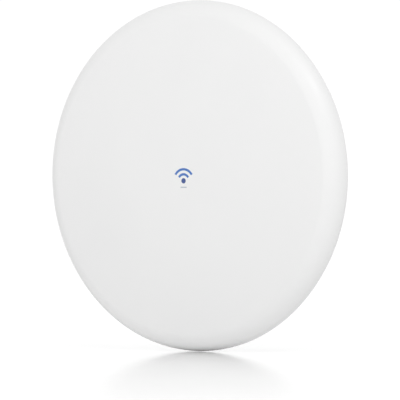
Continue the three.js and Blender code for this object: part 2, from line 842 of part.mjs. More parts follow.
function strapHousing() {
  const base = strap_side * (strap_inner + strap_thickness + gap);
  const z = strap_width / 2 + strap_play;
  const top = worm_axis + strap_side * (worm_radius + gap + housing_wall);
  const outline = new THREE.Shape();
  outline.moveTo(base, -z);
  outline.lineTo(base, z);
  outline.lineTo(base + strap_side * housing_foot, z);
  outline.lineTo(top, z / 2);
  outline.lineTo(top, -z / 2);
  outline.lineTo(base + strap_side * housing_foot, -z);
  const shape = slab(outline, -housing_half, housing_half);
  return shaped(shape, [], [rod(worm_radius + gap, -worm_length, worm_length, worm_axis, 0)]);
}

function strapScrew() {
  const end = housing_half + gap;
  const thread = [[0, -end - thread_depth]];
  const turns = 5;
  for (let i = 0; i <= turns; i += 1) {
    const y = -housing_half + (2 * housing_half * i) / turns;
    thread.push([worm_radius, y]);
    if (i < turns) thread.push([worm_radius - thread_depth, y + housing_half / turns]);
  }
  thread.push([worm_radius - thread_depth, end], [0, end + thread_depth]);
  const body = turned(thread, small_segments).translate(worm_axis, 0, 0);
  const head = new THREE.CylinderGeometry(hex_radius, hex_radius, hex_height, 6);
  head.translate(worm_axis, end + hex_height / 2, 0);
  return shaped(body, [head], [
    block(
      [worm_axis - hex_radius, end + hex_height - slot_depth, -slot_half],
      [worm_axis + hex_radius, end + hex_height + past, slot_half],
    ),
  ]);
}

// ---------- Assembly ----------

const finishes = {
  radome: { color: 0xf1f2f1, roughness: 0.42, metalness: 0 },
  white: { color: 0xe9eaea, roughness: 0.5, metalness: 0 },
  pale: { color: 0xb8babb, roughness: 0.55, metalness: 0 },
  rubber: { color: 0x2b2c2d, roughness: 0.85, metalness: 0 },
  lens: { color: 0xf6f4ea, roughness: 0.35, metalness: 0 },
  clear: { color: 0xdfe9ee, roughness: 0.15, metalness: 0 },
  label: { color: 0xc9ccce, roughness: 0.6, metalness: 0 },
  board: { color: 0x1f5a3a, roughness: 0.5, metalness: 0 },
  black: { color: 0x1c1d1e, roughness: 0.6, metalness: 0 },
  grey: { color: 0x6d7174, roughness: 0.6, metalness: 0 },
  aluminium: { color: 0xc4c7ca, roughness: 0.35, metalness: 1 },
  steel: { color: 0xb4b7ba, roughness: 0.3, metalness: 1 },
};

function piece(group, name, finish, geometry) {
  const mesh = new THREE.Mesh(geometry, new THREE.MeshStandardMaterial(finishes[finish]));
  mesh.name = name;
  group.add(mesh);
}

// The dish head. Its own zero is at the widest circle, and the group sets it in front of the mount.
function dishHead() {
  const head = new THREE.Group();
  head.position.y = -pole_to_ball - ball_centre;
  piece(head, 'front_radome', 'radome', frontRadome());
  piece(head, 'rim_seal', 'rubber', rimSeal());
  piece(head, 'rear_shell', 'white', rearShell());
  piece(head, 'radio_housing', 'white', radioHousing());
  piece(head, 'reflector', 'aluminium', reflector());
  piece(head, 'feed_tube', 'aluminium', feedTube());
  piece(head, 'feed_nut', 'steel', feedNut());
  piece(head, 'feed_lens', 'lens', feedLens());
  piece(head, 'sub_reflector', 'aluminium', subReflector());
  piece(head, 'radio_board', 'board', radioBoard());
  piece(head, 'radio_shield', 'steel', shieldCan(-14, -1, 14, 23));
  piece(head, 'modem_shield', 'steel', shieldCan(-34, -16, -16, 6));
  piece(head, 'thermal_pad', 'grey', thermalPad());
  piece(head, 'heat_spreader', 'aluminium', heatSpreader());
  piece(head, 'ethernet_jack', 'steel', ethernetJack());
  piece(head, 'ethernet_transformer', 'black', ethernetTransformer());
  piece(head, 'reset_switch', 'black', resetSwitch());
  piece(head, 'reset_button', 'grey', resetButton());
  piece(head, 'hub_seal', 'rubber', hubSeal());
  piece(head, 'hub_cover', 'white', hubCover());
  const screw_tip = bowlInside(post_circle) + gap;
  cover_screws.forEach((place, i) => {
    const top = hub_back - gap;
    const head_height = screw_head_height - gap;
    const geometry = screw(screw_shank, screw_head, head_height, top, screw_tip, place);
    piece(head, `cover_screw_${i + 1}`, 'steel', geometry);
  });
  pipe_places.forEach((place, i) => piece(head, `light_pipe_${i + 1}`, 'clear', lightPipe(place)));
  piece(head, 'vent_plug', 'black', ventPlug());
  piece(head, 'ground_washer', 'steel', groundWasher());
  piece(head, 'ground_screw', 'steel', groundScrew());
  piece(head, 'rating_label', 'label', ratingLabel());
  piece(head, 'port_door', 'white', portDoor());
  piece(head, 'cable_grommet', 'rubber', cableGrommet());
  piece(head, 'ball_stud', 'aluminium', ballStud());
  stud_screws.forEach((place, i) => {
    const top = hub_back + stud_flange_thickness + gap;
    const head_height = screw_head_height - gap;
    const geometry = screw(screw_shank, screw_head, head_height, top, cover_front - stud_screw_reach, place);
    piece(head, `stud_screw_${i + 1}`, 'steel', geometry);
  });
  return head;
}

function poleMount() {
  const mount = new THREE.Group();
  piece(mount, 'pole_bracket', 'pale', poleBracket());
  piece(mount, 'friction_cup', 'black', frictionCup());
  piece(mount, 'lock_collar', 'pale', lockCollar());
  piece(mount, 'strap_band', 'steel', strapBand());
  piece(mount, 'strap_housing', 'steel', strapHousing());
  piece(mount, 'strap_screw', 'steel', strapScrew());
  return mount;
}

const bridge = new THREE.Group();
bridge.name = 'wireless_bridge';
bridge.add(dishHead(), poleMount());

export default bridge;
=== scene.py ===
import json
from math import asin, cos, degrees, pi, radians, sin, sqrt

import bmesh
import bpy
from mathutils import Matrix, Vector


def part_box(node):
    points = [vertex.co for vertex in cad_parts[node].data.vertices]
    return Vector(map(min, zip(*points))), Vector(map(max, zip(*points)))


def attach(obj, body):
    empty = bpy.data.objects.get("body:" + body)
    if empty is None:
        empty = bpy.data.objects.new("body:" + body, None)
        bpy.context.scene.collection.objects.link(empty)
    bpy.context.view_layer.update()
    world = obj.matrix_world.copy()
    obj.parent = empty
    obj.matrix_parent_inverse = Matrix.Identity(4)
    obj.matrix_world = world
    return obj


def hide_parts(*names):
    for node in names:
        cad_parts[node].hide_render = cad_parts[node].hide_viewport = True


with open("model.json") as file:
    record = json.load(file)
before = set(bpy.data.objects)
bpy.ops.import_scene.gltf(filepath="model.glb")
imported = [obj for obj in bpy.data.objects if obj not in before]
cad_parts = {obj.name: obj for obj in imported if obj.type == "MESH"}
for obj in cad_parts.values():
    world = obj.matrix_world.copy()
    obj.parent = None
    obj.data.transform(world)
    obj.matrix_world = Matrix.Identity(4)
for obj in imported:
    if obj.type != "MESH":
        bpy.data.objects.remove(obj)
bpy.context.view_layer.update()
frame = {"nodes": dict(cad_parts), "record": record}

MM = 0.001
GAP = 0.3
PAST = 1  # how far a cutting shape stands out of what it cuts

# Lengths below are millimetres. Only finished objects, lights and the camera are in metres.


def low(node):
    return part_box(node)[0] / MM


def high(node):
    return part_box(node)[1] / MM


# ---------- Places and sizes, from the frame ----------

RADIUS = high("front_radome").x
APEX = low("front_radome").y
SEAM = high("front_radome").y
DOME_HEIGHT = 20
SHOULDER = 14
EDGE = 4
EDGE_TURN = 48
RADOME_WALL = 2.5
SKIRT_WALL = 2.2
WIDEST = APEX + DOME_HEIGHT
FOCAL_LENGTH = 90
SHELL_WALL = 3.6
SEAM_RADIUS = high("rear_shell").x
BOWL_START = SEAM - WIDEST + GAP
TONGUE = 3
SEAL_HALF = 0.9

HUB_RADIUS = high("hub_cover").x
HUB_WALL = 2.5
HUB_INNER = HUB_RADIUS - HUB_WALL
HUB_BACK = high("hub_cover").y
COVER_FRONT = HUB_BACK - 3
HUB_END = COVER_FRONT - 1.3
FLOOR_INNER = HUB_INNER - 10
JACK_POCKET = 8.5
BOARD_FRONT = low("radio_board").y
BOARD_BACK = high("radio_board").y
JACK_LOW = low("ethernet_jack")
JACK_HIGH = high("ethernet_jack")
JACK_AXIS = (JACK_LOW.y + JACK_HIGH.y) / 2
BAY_TOP = JACK_LOW.z + GAP
BAY_LOW = low("radio_housing").z
BAY_OUTER = 18.5
BAY_HALF = 15.5
DOOR_FRONT = HUB_BACK - 3.5

SCREW_SHANK = 1.5
SCREW_HEAD = 2.8
SCREW_HEAD_HEIGHT = 1.5
SHANK_HOLE = SCREW_SHANK + GAP
HEAD_HOLE = SCREW_HEAD + GAP
GROUND_SHANK = 2
GROUND_HEAD = 3.8
VENT_STEM = 3
BUTTON_RADIUS = 1.8
BUTTON_COLLAR = 1.2

BALL_RADIUS = 12
BALL = high("ball_stud").y - BALL_RADIUS
STUD_BASE = HUB_BACK + GAP
FLANGE = high("ball_stud").x
FLANGE_BACK = STUD_BASE + 3.5
SOCKET = BALL_RADIUS + 2.6
PLATE_FRONT = BALL + SOCKET
BARREL = SOCKET + 6
NECK = 5.2
NECK_FLARE = 3.4
POLE_RADIUS = 19
STRAP_THICKNESS = 0.8
STRAP_HALF = 6.35
STRAP_INNER = high("strap_band").x - STRAP_THICKNESS

# The printed mark, about the middle of the face.
MARK_LOW = -3.6
MARK_SLOPE = 0.62
MARK_DOT = 1.9
MARK_INNER = 4.6
MARK_OUTER = 8.2
MARK_STROKE = 0.85
MARK_BAR = 2.6
MARK_BAR_HALF = 0.35
MARK_BAR_Z = -8.2
MARK_BLUE = (0.03, 0.16, 0.52)
MARK_DEEP = (0.015, 0.06, 0.27)
MARK_GREY = (0.42, 0.47, 0.55)


# ---------- Shape helpers ----------

def made(name, bm, smooth_angle=None):
    """Turns a bmesh into an object. With an angle, it is finished: in metres and smooth up to that angle."""
    bmesh.ops.recalc_face_normals(bm, faces=bm.faces)
    mesh = bpy.data.meshes.new(name)
    bm.to_mesh(mesh)
    bm.free()
    if smooth_angle:
        mesh.transform(Matrix.Scale(MM, 4))
        mesh.set_sharp_from_angle(angle=radians(smooth_angle))
    thing = bpy.data.objects.new(name, mesh)
    bpy.context.scene.collection.objects.link(thing)
    return thing


def arc(centre_r, centre_y, size, start, end, steps):
    """Points of an arc in a turned profile: 0 degrees towards -Y, 90 away from the axis."""
    turns = [radians(start + (end - start) * i / steps) for i in range(steps + 1)]
    return [(centre_r + size * sin(t), centre_y - size * cos(t)) for t in turns]


def rounded(points, radius, steps=4, closed=True):
    """A flat outline with its corners rounded. Short sides limit the rounding."""
    out = []
    count = len(points)
    for i, place in enumerate(points):
        if not closed and i in (0, count - 1):
            out.append(place)
            continue
        corner = Vector(place)
        before = Vector(points[i - 1]) - corner
        after = Vector(points[(i + 1) % count]) - corner
        reach = min(radius, 0.45 * before.length, 0.45 * after.length)
        if before.normalized().dot(after.normalized()) < -0.985:
            out.append(place)
            continue
        first = corner + reach * before.normalized()
        last = corner + reach * after.normalized()
        for k in range(steps + 1):
            t = k / steps
            out.append(tuple((1 - t) ** 2 * first + 2 * t * (1 - t) * corner + t ** 2 * last))
    return out


def turned(name, profile, segments=96, centre=(0, 0), smooth_angle=None):
    """A profile of (radius, y) points, closed on itself or on the axis, turned about an axis along Y."""
    bm = bmesh.new()
    rings = []
    for r, y in profile:
        if r < 1e-5:
            rings.append([bm.verts.new((centre[0], y, centre[1]))])
            continue
        turns = [2 * pi * i / segments for i in range(segments)]
        rings.append([bm.verts.new((centre[0] + r * cos(t), y, centre[1] + r * sin(t))) for t in turns])
    for lower, upper in zip(rings, rings[1:] + rings[:1]):
        if len(lower) == 1 and len(upper) == 1:
            continue
        for i in range(segments):
            j = (i + 1) % segments
            near = [lower[i % len(lower)], lower[j % len(lower)]]
            far = [upper[j % len(upper)], upper[i % len(upper)]]
            bm.faces.new(list(dict.fromkeys(near + far)))
    return made(name, bm, smooth_angle)


def rod(r, start, end, x=0, z=0, segments=48, ease=0):
    """A cylinder along Y with rounded ends."""
    profile = [(0, start), (r, start), (r, end), (0, end)]
    if ease:
        profile = rounded(profile, ease, closed=False)
    return turned("rod", profile, segments, (x, z))


def post(r, start, end, x=0, y=0, segments=48, ease=0):
    """A cylinder along Z with rounded ends."""
    made_rod = rod(r, start, end, 0, 0, segments, ease)
    made_rod.data.transform(Matrix.Translation((x, y, 0)) @ Matrix.Rotation(radians(90), 4, "X"))
    return made_rod


def block(start, end, ease=0, steps=3):
    """A box between two corners with rounded edges."""
    bm = bmesh.new()
    bmesh.ops.create_cube(bm, size=1)
    start, end = Vector(start), Vector(end)
    for vert in bm.verts:
        vert.co = Vector((start[k] if vert.co[k] < 0 else end[k]) for k in range(3))
    if ease:
        bmesh.ops.bevel(bm, geom=list(bm.edges), offset=ease, segments=steps, profile=0.5, affect="EDGES")
    return made("block", bm)


def extruded(outline, start, end, axis="Y", ease=0, steps=3):
    """A flat outline pushed along Y (points are x, z) or Z (points are x, y), with rounded rims."""
    bm = bmesh.new()
    place = (lambda a, b, c: (a, c, b)) if axis == "Y" else (lambda a, b, c: (a, b, c))
    bottom = [bm.verts.new(place(a, b, start)) for a, b in outline]
    top = [bm.verts.new(place(a, b, end)) for a, b in outline]
    caps = [bm.faces.new(bottom), bm.faces.new(top)]
    for i in range(len(outline)):
        j = (i + 1) % len(outline)
        bm.faces.new([bottom[i], bottom[j], top[j], top[i]])
    if ease:
        rims = list({edge for cap in caps for edge in cap.edges})
        bmesh.ops.bevel(bm, geom=rims, offset=ease, segments=steps, profile=0.5, affect="EDGES")
    return made("extruded", bm)


def box_outline(x0, y0, x1, y1, corner, steps=8):
    return rounded([(x0, y0), (x1, y0), (x1, y1), (x0, y1)], corner, steps)


def carved(name, base, added=(), cutters=(), ease=0, smooth_angle=38):
    """Joins and cuts solids and eases the new edges. With an angle of None it stays in millimetres."""
    for operation, shapes in (("UNION", added), ("DIFFERENCE", cutters)):
        for shape in shapes:
            step = base.modifiers.new("step", "BOOLEAN")
            step.operation = operation
            step.solver = "MANIFOLD"
            step.object = shape
    if ease:
        weld = base.modifiers.new("weld", "WELD")
        weld.merge_threshold = 0.01
        flat = base.modifiers.new("flat", "DECIMATE")
        flat.decimate_type = "DISSOLVE"
        flat.angle_limit = radians(0.5)
        easing = base.modifiers.new("easing", "BEVEL")
        easing.width = ease
        easing.segments = 3
        easing.limit_method = "ANGLE"
        easing.angle_limit = radians(40)
        easing.harden_normals = False
    view = bpy.context.evaluated_depsgraph_get()
    mesh = bpy.data.meshes.new_from_object(base.evaluated_get(view))
    bm = bmesh.new()
    bm.from_mesh(mesh)
    bpy.data.meshes.remove(mesh)
    for thing in (base, *added, *cutters):
        bpy.data.objects.remove(thing)
    return made(name, bm, smooth_angle)


def around(count, size, start=0):
    turns = [radians(start) + 2 * pi * i / count for i in range(count)]
    return [(size * cos(t), size * sin(t)) for t in turns]


# ---------- Material helpers ----------

def node_material(name):
    material = bpy.data.materials.new(name)
    material.use_nodes = True
    tree = material.node_tree
    shader = tree.nodes["Principled BSDF"]
    place = tree.nodes.new("ShaderNodeTexCoord").outputs["Object"]
    return material, tree, shader, place


def noise(tree, place, scale, detail=3, stretch=(1, 1, 1), offset=(0, 0, 0)):
    mapping = tree.nodes.new("ShaderNodeMapping")
    mapping.inputs["Location"].default_value = offset
    mapping.inputs["Scale"].default_value = stretch
    tree.links.new(place, mapping.inputs["Vector"])
    pattern = tree.nodes.new("ShaderNodeTexNoise")
    pattern.inputs["Scale"].default_value = scale
    pattern.inputs["Detail"].default_value = detail
    tree.links.new(mapping.outputs["Vector"], pattern.inputs["Vector"])
    return pattern.outputs["Fac"]


def ranged(tree, value, start, end, new_start, new_end):
    node = tree.nodes.new("ShaderNodeMapRange")
    for socket, number in zip(node.inputs[1:5], (start, end, new_start, new_end)):
        socket.default_value = number
    tree.links.new(value, node.inputs[0])
    return node.outputs[0]


def maths(tree, operation, *values):
    node = tree.nodes.new("ShaderNodeMath")
    node.operation = operation
    for socket, value in zip(node.inputs, values):
        if isinstance(value, (int, float)):
            socket.default_value = value
        else:
            tree.links.new(value, socket)
    return node.outputs[0]


def blended(tree, factor, first, second):
    """Mixes two colours, each a tuple or a socket, by a factor socket."""
    node = tree.nodes.new("ShaderNodeMix")
    node.data_type = "RGBA"
    tree.links.new(factor, node.inputs["Factor"])
    for socket, colour in ((node.inputs["A"], first), (node.inputs["B"], second)):
        if isinstance(colour, tuple):
            socket.default_value = (*colour, 1)
        else:
            tree.links.new(colour, socket)
    return node.outputs["Result"]


def bump(tree, height, strength, distance, onto=None):
    node = tree.nodes.new("ShaderNodeBump")
    node.inputs["Strength"].default_value = strength
    node.inputs["Distance"].default_value = distance * MM
    tree.links.new(height, node.inputs["Height"])
    if onto:
        tree.links.new(onto, node.inputs["Normal"])
    return node.outputs["Normal"]


def scuffs(tree, place, amount):
    """A few long thin scratches and small rubbed patches, as a mask."""
    lines = noise(tree, place, 60, 6, (1, 9, 0.7), (3, 1, 2))
    patches = noise(tree, place, 30, 2, offset=(7, 5, 1))
    fine = ranged(tree, lines, 0.63, 0.70, 0, 1)
    area = ranged(tree, patches, 0.5, 0.62, 0, amount)
    return maths(tree, "MULTIPLY", fine, area)


def dust(tree, place, amount):
    """Thin dust that lies on faces that look up, as a mask."""
    facing = tree.nodes.new("ShaderNodeSeparateXYZ")
    tree.links.new(tree.nodes.new("ShaderNodeNewGeometry").outputs["Normal"], facing.inputs[0])
    settled = ranged(tree, facing.outputs["Z"], 0.35, 1, 0, amount)
    return maths(tree, "MULTIPLY", settled, ranged(tree, noise(tree, place, 120, 5), 0.35, 0.65, 0.3, 1))


def moulded(name, light, dark, roughness, grain=0.12, gloss=0.5, worn=0.5, dusty=0.25, print_over=None):
    """Moulded plastic: cloudy colour, spark-eroded texture, uneven gloss, scuffs and a little dust."""
    material, tree, shader, place = node_material(name)
    cloud = noise(tree, place, 14, 4)
    handled = noise(tree, place, 90, 5)
    colour = blended(tree, ranged(tree, cloud, 0.3, 0.7, 0, 1), light, dark)
    if print_over:
        colour = print_over(tree, place, colour)
    marks = scuffs(tree, place, worn)
    paler = tuple(min(0.9, 0.75 * part + 0.2) for part in light)
    colour = blended(tree, maths(tree, "MULTIPLY", marks, 0.5), colour, paler)
    colour = blended(tree, dust(tree, place, dusty), colour, (0.62, 0.60, 0.56))
    tree.links.new(colour, shader.inputs["Base Color"])
    sheen = ranged(tree, handled, 0.3, 0.7, roughness - 0.05, roughness + 0.06)
    sheen = maths(tree, "ADD", sheen, maths(tree, "MULTIPLY", marks, 0.25))
    tree.links.new(sheen, shader.inputs["Roughness"])
    fine = bump(tree, noise(tree, place, 2400, 2), grain, 0.05)
    tree.links.new(bump(tree, marks, -0.25, 0.03, fine), shader.inputs["Normal"])
    shader.inputs["Specular IOR Level"].default_value = gloss
    return material


def metal(name, light, dark, roughness, stretch=(1, 1, 1), grain=0.1, worn=0.7):
    """Metal with a fine directional grain, cloudy tone, dull spots and scratches."""
    material, tree, shader, place = node_material(name)
    lines = noise(tree, place, 900, 3, stretch)
    cloud = noise(tree, place, 40, 4)
    spots = ranged(tree, noise(tree, place, 260, 2, offset=(1, 4, 2)), 0.62, 0.72, 0, 0.6)
    marks = scuffs(tree, place, worn)
    colour = blended(tree, ranged(tree, cloud, 0.3, 0.7, 0, 1), light, dark)
    colour = blended(tree, spots, colour, tuple(0.62 * part for part in dark))
    tree.links.new(colour, shader.inputs["Base Color"])
    sheen = ranged(tree, lines, 0.25, 0.75, roughness - 0.07, roughness + 0.12)
    sheen = maths(tree, "ADD", sheen, maths(tree, "MULTIPLY", spots, 0.2))
    tree.links.new(maths(tree, "ADD", sheen, maths(tree, "MULTIPLY", marks, 0.2)), shader.inputs["Roughness"])
    fine = bump(tree, lines, grain, 0.05)
    tree.links.new(bump(tree, marks, -0.4, 0.03, fine), shader.inputs["Normal"])
    shader.inputs["Metallic"].default_value = 1
    return material


def mark(tree, place, ground):
    """A generic radio mark printed at the middle of the face: a dot under two arcs, over a short bar."""
    parts = tree.nodes.new("ShaderNodeSeparateXYZ")
    tree.links.new(place, parts.inputs[0])
    across, along, up = parts.outputs

    def below(value, limit):
        return maths(tree, "LESS_THAN", value, limit)

    def distance(value):
        return maths(tree, "ABSOLUTE", value)

    def both(first, second):
        return maths(tree, "MULTIPLY", first, second)

    rise = maths(tree, "SUBTRACT", up, MARK_LOW * MM)
    squares = maths(tree, "ADD", maths(tree, "POWER", across, 2), maths(tree, "POWER", rise, 2))
    reach = maths(tree, "SQRT", squares)
    front = below(along, (APEX + 1) * MM)
    wedge = maths(tree, "GREATER_THAN", rise, both(distance(across), MARK_SLOPE))

    def band(middle, half):
        return below(distance(maths(tree, "SUBTRACT", reach, middle * MM)), half * MM)

    arcs = maths(tree, "MAXIMUM", band(MARK_INNER, MARK_STROKE), band(MARK_OUTER, MARK_STROKE))
    arcs = both(both(arcs, wedge), front)
    dot = both(below(reach, MARK_DOT * MM), front)
    drop = distance(maths(tree, "SUBTRACT", up, MARK_BAR_Z * MM))
    bar = both(both(below(distance(across), MARK_BAR * MM), below(drop, MARK_BAR_HALF * MM)), front)
    ink = ranged(tree, noise(tree, place, 700, 3), 0.3, 0.7, 0.9, 1)
    colour = blended(tree, both(arcs, ink), ground, MARK_BLUE)
    colour = blended(tree, both(dot, ink), colour, MARK_DEEP)
    return blended(tree, both(bar, ink), colour, MARK_GREY)


def shiny_board(name):
    """Solder mask with fine copper lines showing through."""
    material, tree, shader, place = node_material(name)
    tracks = noise(tree, place, 420, 1, (1, 1, 4))
    shade = ranged(tree, tracks, 0.48, 0.52, 0, 1)
    colour = blended(tree, shade, (0.010, 0.075, 0.035), (0.02, 0.14, 0.065))
    tree.links.new(colour, shader.inputs["Base Color"])
    tree.links.new(ranged(tree, noise(tree, place, 150, 4), 0.3, 0.7, 0.28, 0.42), shader.inputs["Roughness"])
    tree.links.new(bump(tree, shade, 0.3, 0.04), shader.inputs["Normal"])
    return material


MATERIALS = {
    "radome": moulded("radome_plastic", (0.905, 0.905, 0.903), (0.89, 0.891, 0.89),
                      0.42, grain=0.04, worn=0.12,
                      dusty=0.02, print_over=mark),
    "shell": moulded("shell_plastic", (0.80, 0.803, 0.80), (0.76, 0.764, 0.762),
                     0.45, worn=0.35, dusty=0.12),
    "mount_plastic": moulded("mount_plastic", (0.46, 0.468, 0.475), (0.40, 0.408, 0.415),
                             0.5, grain=0.25, worn=0.6),
    "ball_metal": metal("cast_aluminium", (0.66, 0.67, 0.68), (0.55, 0.56, 0.58), 0.36),
    "reflector_metal": metal("spun_aluminium", (0.80, 0.81, 0.82), (0.70, 0.71, 0.73), 0.22, worn=0.3),
    "feed_metal": metal("machined_aluminium", (0.74, 0.75, 0.76), (0.62, 0.63, 0.65),
                        0.28, (1, 8, 1), worn=0.3),
    "lens_plastic": moulded("lens_plastic", (0.86, 0.84, 0.78), (0.82, 0.80, 0.74), 0.4, worn=0.2, dusty=0),
    "steel": metal("stainless_steel", (0.60, 0.61, 0.62), (0.48, 0.49, 0.51), 0.26, (1, 1, 6)),
    "can_steel": metal("tinned_steel", (0.70, 0.71, 0.71), (0.58, 0.59, 0.60), 0.34, (6, 1, 1), worn=0.4),
    "board": shiny_board("solder_mask"),
    "black_plastic": moulded("black_plastic", (0.028, 0.028, 0.03), (0.018, 0.018, 0.02), 0.45, grain=0.2),
    "grey_plastic": moulded("grey_plastic", (0.16, 0.17, 0.18), (0.12, 0.13, 0.14), 0.5),
    "pad": moulded("thermal_pad", (0.16, 0.18, 0.20), (0.13, 0.15, 0.17),
                   0.78, grain=0.3, gloss=0.3, dusty=0),
    "rubber": moulded("black_rubber", (0.022, 0.022, 0.023), (0.014, 0.014, 0.015),
                      0.78, grain=0.3, gloss=0.3),
    "clear_plastic": moulded("light_pipe", (0.62, 0.70, 0.74), (0.55, 0.64, 0.68),
                             0.15, grain=0.02, worn=0.1),
    "label": moulded("label_plate", (0.50, 0.51, 0.53), (0.44, 0.45, 0.47), 0.42, grain=0.15, dusty=0.05),
}
GOLD = metal("contact_gold", (0.80, 0.58, 0.25), (0.70, 0.48, 0.18), 0.25)


def finish_piece(piece, body, slot, *nodes):
    """Gives a piece its material and its body, and hides the CAD nodes that it stands for."""
    piece.data.materials.clear()
    piece.data.materials.append(MATERIALS[slot])
    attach(piece, body)
    if nodes:
        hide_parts(*nodes)
    return piece


# ---------- Dish head: shells ----------

def bowl_outside(r):
    return WIDEST + BOWL_START + (SEAM_RADIUS ** 2 - r ** 2) / (4 * FOCAL_LENGTH)


def bowl_inside(r):
    return bowl_outside(r) - SHELL_WALL


def steps_between(start, end, count):
    return [start + (end - start) * i / count for i in range(count + 1)]


def radome():
    """The radome's outside and inside as one closed profile."""
    rise = DOME_HEIGHT - SHOULDER
    reach = RADIUS - SHOULDER
    cap = (reach ** 2 + DOME_HEIGHT ** 2 - SHOULDER ** 2) / (2 * rise)
    turn = degrees(asin(reach / (cap - SHOULDER)))

    def face(inset, steps):
        front = arc(0, APEX + cap, cap - inset, 0, turn, steps)
        return front + arc(reach, WIDEST, SHOULDER - inset, turn, 80, steps)[1:]

    outside = face(0, 24) + arc(reach, WIDEST, SHOULDER, 80, 90, 3)[1:]
    outside += arc(RADIUS - EDGE, WIDEST, EDGE, 90, 90 + EDGE_TURN, 10)[1:]
    skirt = RADIUS - EDGE + EDGE * cos(radians(EDGE_TURN)) - SKIRT_WALL
    inside = [(skirt, SEAM), (skirt, WIDEST - 2)] + face(RADOME_WALL, 16)[::-1]
    return turned("radome", outside + inside, 256, smooth_angle=40)


def bowl():
    """The rear shell: its tongue inside the radome's skirt, the seal's groove and the deep bowl."""
    tongue_outer = SEAM_RADIUS - SKIRT_WALL - GAP
    tongue_inner = tongue_outer - TONGUE
    groove = tongue_outer - 1.5
    ledge = tongue_inner - 4
    outside = [(r, bowl_outside(r)) for r in steps_between(SEAM_RADIUS - 0.8, FLOOR_INNER, 16)]
    inside = [(r, bowl_inside(r)) for r in steps_between(FLOOR_INNER, ledge, 14)]
    front = low("rear_shell").y
    shell = turned("shell", [
        (tongue_inner, front + 0.4), (tongue_inner + 0.4, front), (tongue_outer - 0.6, front),
        (tongue_outer, front + 0.8), (tongue_outer, WIDEST - SEAL_HALF), (groove, WIDEST - SEAL_HALF),
        (groove, WIDEST + SEAL_HALF), (tongue_outer, WIDEST + SEAL_HALF), (tongue_outer, WIDEST + BOWL_START),
        (SEAM_RADIUS - 0.3, WIDEST + BOWL_START), (SEAM_RADIUS, WIDEST + BOWL_START + 0.25),
        *outside, *inside, (ledge, bowl_inside(ledge) - 1.2), (tongue_inner, bowl_inside(ledge) - 1.2),
    ], 256)
    holes = [rod(SHANK_HOLE, WIDEST, HUB_END, x, z) for x, z in COVER_SCREWS]
    return carved("bowl", shell, cutters=holes, smooth_angle=35)


def housing():
    """The round radio housing with the cable bay below it, as one moulding."""
    floor = [(r, bowl_outside(r) + GAP) for r in steps_between(FLOOR_INNER, HUB_RADIUS, 6)]
    ring = turned("ring", [
        *floor, (HUB_RADIUS, HUB_END - 0.5), (HUB_RADIUS - 0.5, HUB_END), (HUB_INNER + 0.3, HUB_END),
        (HUB_INNER, HUB_END - 0.3), (HUB_INNER, BOARD_FRONT - GAP), (FLOOR_INNER, BOARD_FRONT - GAP),
    ], 192)
    front = bowl_outside(-BAY_LOW) - 0.5
    chin = extruded(box_outline(-BAY_OUTER, BAY_LOW, BAY_OUTER, BAY_TOP + 12, 6, 10), front, HUB_BACK)
    behind = [(r, bowl_outside(r) + GAP) for r in steps_between(RADIUS, 0, 40)]
    shadow = turned("shadow", [(0, WIDEST - RADIUS), (RADIUS, WIDEST - RADIUS), *behind], 192)
    space = rod(HUB_INNER, WIDEST, HUB_BACK + PAST, segments=192)
    seat = rod(HUB_RADIUS + GAP, HUB_END, HUB_BACK + PAST, segments=192)
    chin = carved("chin", chin, cutters=[shadow, space, seat])
    chin.data.transform(Matrix.Scale(1 / MM, 4))  # back to millimetres, to be joined below
    rail = BAY_HALF + 1.7
    jack = JACK_HIGH.x + GAP
    bay_front = bowl_outside(HUB_RADIUS) + 1.5
    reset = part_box("reset_button")
    reset_x = (reset[0].x + reset[1].x) / 2 / MM
    return carved("radio_housing_shell", ring, [chin], [
        block((-BAY_HALF, bay_front, BAY_LOW - PAST), (BAY_HALF, HUB_BACK + PAST, BAY_TOP)),
        block((-rail, DOOR_FRONT - GAP, BAY_LOW - PAST), (rail, HUB_BACK - 1.5, BAY_TOP)),
        block((-jack, BOARD_BACK, BAY_TOP - PAST), (jack, JACK_HIGH.y + GAP, BAY_TOP + JACK_POCKET)),
        post(BUTTON_RADIUS + GAP, BAY_TOP - PAST, BAY_TOP + JACK_POCKET, reset_x, JACK_AXIS),
        *[rod(SHANK_HOLE, WIDEST, BOARD_FRONT, x, z) for x, z in COVER_SCREWS],
    ], ease=0.35)


def ring_groove(inner, outer, segments):
    """A cutter for a shallow round groove in the hub cover."""
    start, end = HUB_BACK - 0.35, HUB_BACK + PAST
    return turned("rim", [(inner, start), (outer, start), (outer, end), (inner, end)], segments)


def cover():
    """The round lid of the radio housing, with its screw posts, counterbores and recessed plate."""
    corners = [(0, COVER_FRONT), (HUB_RADIUS, COVER_FRONT), (HUB_RADIUS, HUB_BACK), (0, HUB_BACK)]
    lid = turned("lid", rounded(corners, 1.4, 6, closed=False), 192)
    posts = [rod(4.5, BOARD_BACK + GAP, COVER_FRONT + 1, x, z, ease=0.4) for x, z in COVER_SCREWS]

    def through(r, start, *places):
        return [rod(r, start, HUB_BACK + PAST, x, z) for x, z in places]

    start, end = low("rating_label"), high("rating_label")
    outline = box_outline(start.x - GAP, start.z - GAP, end.x + GAP, end.z + GAP, 1.2)
    return carved("cover", lid, posts, [
        *through(HEAD_HOLE, HUB_BACK - SCREW_HEAD_HEIGHT - 0.6, *COVER_SCREWS),
        *through(SHANK_HOLE, BOARD_BACK - PAST, *COVER_SCREWS, *STUD_SCREWS),
        *through(VENT_STEM + GAP, COVER_FRONT - PAST, middle("vent_plug")),
        *through(GROUND_SHANK + GAP, COVER_FRONT - PAST, middle("ground_screw")),
        *through(1.8, COVER_FRONT - PAST, *PIPES),
        extruded(outline, HUB_BACK - 0.6, HUB_BACK + PAST),
        ring_groove(FLANGE + 1.2, FLANGE + 2.2, 128),
        ring_groove(HUB_RADIUS - 3.4, HUB_RADIUS - 2.6, 192),
    ], ease=0.18)


